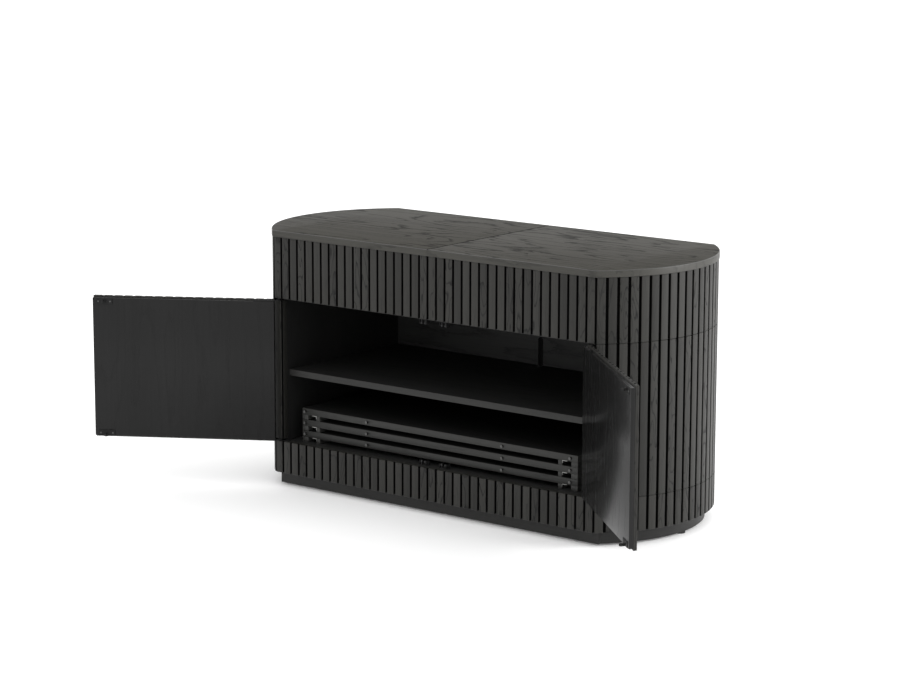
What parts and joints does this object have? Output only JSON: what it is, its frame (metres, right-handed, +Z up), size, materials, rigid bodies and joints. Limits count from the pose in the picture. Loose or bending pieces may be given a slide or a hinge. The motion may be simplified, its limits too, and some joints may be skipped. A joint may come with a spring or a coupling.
{
  "type": "media cabinet",
  "caption": "Obround fluted media cabinet in black-stained oak with flush hinged doors, a shelf, a cable slot and stored table leaves.",
  "frame": {"origin": "on the floor under the middle of the cabinet, on the underside of the centre glide", "axes": "+X along the length to the right seen from the front, front towards -Y, +Z up"},
  "size_m": [1.98, 0.9596, 0.76],
  "materials": {
    "stained_oak": "open-grain black stain, satin",
    "stained_veneer": "black-stained veneer, satin",
    "steel": "satin steel",
    "black_steel": "black, satin",
    "black_plastic": "matt black"
  },
  "bodies": {
    "carcass": {"top_slab_left": "stained_oak", "top_slab_right": "stained_oak", "sub_top_panel": "stained_veneer", "ceiling_panel": "stained_veneer", "floor_panel": "stained_veneer", "base_panel": "stained_veneer", "side_panel_left": "stained_veneer", "side_panel_right": "stained_veneer", "back_panel": "stained_veneer", "front_upper_band": "stained_oak", "front_lower_band": "stained_oak", "stile_left": "stained_oak", "stile_right": "stained_oak", "end_upper_band_left": "stained_oak", "end_upper_band_right": "stained_oak", "end_middle_band_left": "stained_oak", "end_middle_band_right": "stained_oak", "end_lower_band_left": "stained_oak", "end_lower_band_right": "stained_oak", "back_cladding": "stained_oak", "end_formers_left": "stained_veneer", "end_formers_right": "stained_veneer", "plinth_front": "stained_oak", "plinth_back": "stained_oak", "plinth_end_left": "stained_oak", "plinth_end_right": "stained_oak", "levelling_glides": "black_plastic", "shelf": "stained_veneer", "shelf_pins": "steel", "hinge_pivots_left": "black_steel", "hinge_pivots_right": "black_steel", "catch_bases": "black_steel"},
    "door_left": {"door_board_left": "stained_veneer", "door_slats_left": "stained_oak", "door_hinge_leaves_left": "black_steel", "door_strikes_left": "black_steel"},
    "door_right": {"door_board_right": "stained_veneer", "door_slats_right": "stained_oak", "door_hinge_leaves_right": "black_steel", "door_strikes_right": "black_steel"},
    "leaf_1": {"leaf_board_1": "stained_oak", "leaf_rails_1": "stained_oak", "leaf_clips_1": "steel", "leaf_pins_1": "steel"},
    "leaf_2": {"leaf_board_2": "stained_oak", "leaf_rails_2": "stained_oak", "leaf_clips_2": "steel", "leaf_pins_2": "steel"},
    "leaf_3": {"leaf_board_3": "stained_oak", "leaf_rails_3": "stained_oak", "leaf_clips_3": "steel", "leaf_pins_3": "steel"},
    "roller_bottom_left_a": {"roller_bottom_left_a": "black_plastic"},
    "roller_bottom_left_b": {"roller_bottom_left_b": "black_plastic"},
    "roller_bottom_right_a": {"roller_bottom_right_a": "black_plastic"},
    "roller_bottom_right_b": {"roller_bottom_right_b": "black_plastic"},
    "roller_top_left_a": {"roller_top_left_a": "black_plastic"},
    "roller_top_left_b": {"roller_top_left_b": "black_plastic"},
    "roller_top_right_a": {"roller_top_right_a": "black_plastic"},
    "roller_top_right_b": {"roller_top_right_b": "black_plastic"}
  },
  "joints": [
    {"name": "door_left_hinge", "type": "hinge", "parent": "carcass", "child": "door_left", "pos_m": [-0.551, -0.2865, 0.3495], "axis": [0, 0, -1], "range_deg": [-149, 16]},
    {"name": "door_right_hinge", "type": "hinge", "parent": "carcass", "child": "door_right", "pos_m": [0.551, -0.2865, 0.3495], "axis": [0, 0, 1], "range_deg": [-138, 27]},
    {"name": "leaf_1_slide", "type": "slide", "parent": "carcass", "child": "leaf_1", "axis": [0, -1, 0], "range_m": [0, 0.42]},
    {"name": "leaf_2_slide", "type": "slide", "parent": "carcass", "child": "leaf_2", "axis": [0, -1, 0], "range_m": [0, 0.42]},
    {"name": "leaf_3_slide", "type": "slide", "parent": "carcass", "child": "leaf_3", "axis": [0, -1, 0], "range_m": [0, 0.42]},
    {"name": "roller_bottom_left_a_slide", "type": "slide", "parent": "carcass", "child": "roller_bottom_left_a", "axis": [-1, 0, 0], "range_m": [0, 0.0022], "stiffness_N_per_m": 400},
    {"name": "roller_bottom_left_b_slide", "type": "slide", "parent": "carcass", "child": "roller_bottom_left_b", "axis": [1, 0, 0], "range_m": [0, 0.0022], "stiffness_N_per_m": 400},
    {"name": "roller_bottom_right_a_slide", "type": "slide", "parent": "carcass", "child": "roller_bottom_right_a", "axis": [1, 0, 0], "range_m": [0, 0.0022], "stiffness_N_per_m": 400},
    {"name": "roller_bottom_right_b_slide", "type": "slide", "parent": "carcass", "child": "roller_bottom_right_b", "axis": [-1, 0, 0], "range_m": [0, 0.0022], "stiffness_N_per_m": 400},
    {"name": "roller_top_left_a_slide", "type": "slide", "parent": "carcass", "child": "roller_top_left_a", "axis": [-1, 0, 0], "range_m": [0, 0.0022], "stiffness_N_per_m": 400},
    {"name": "roller_top_left_b_slide", "type": "slide", "parent": "carcass", "child": "roller_top_left_b", "axis": [1, 0, 0], "range_m": [0, 0.0022], "stiffness_N_per_m": 400},
    {"name": "roller_top_right_a_slide", "type": "slide", "parent": "carcass", "child": "roller_top_right_a", "axis": [1, 0, 0], "range_m": [0, 0.0022], "stiffness_N_per_m": 400},
    {"name": "roller_top_right_b_slide", "type": "slide", "parent": "carcass", "child": "roller_top_right_b", "axis": [-1, 0, 0], "range_m": [0, 0.0022], "stiffness_N_per_m": 400}
  ],
  "couplings": [
    {"joint": "roller_bottom_left_b_slide", "follows": "roller_bottom_left_a_slide", "ratio": 1},
    {"joint": "roller_bottom_right_b_slide", "follows": "roller_bottom_right_a_slide", "ratio": 1},
    {"joint": "roller_top_left_b_slide", "follows": "roller_top_left_a_slide", "ratio": 1},
    {"joint": "roller_top_right_b_slide", "follows": "roller_top_right_a_slide", "ratio": 1}
  ]
}
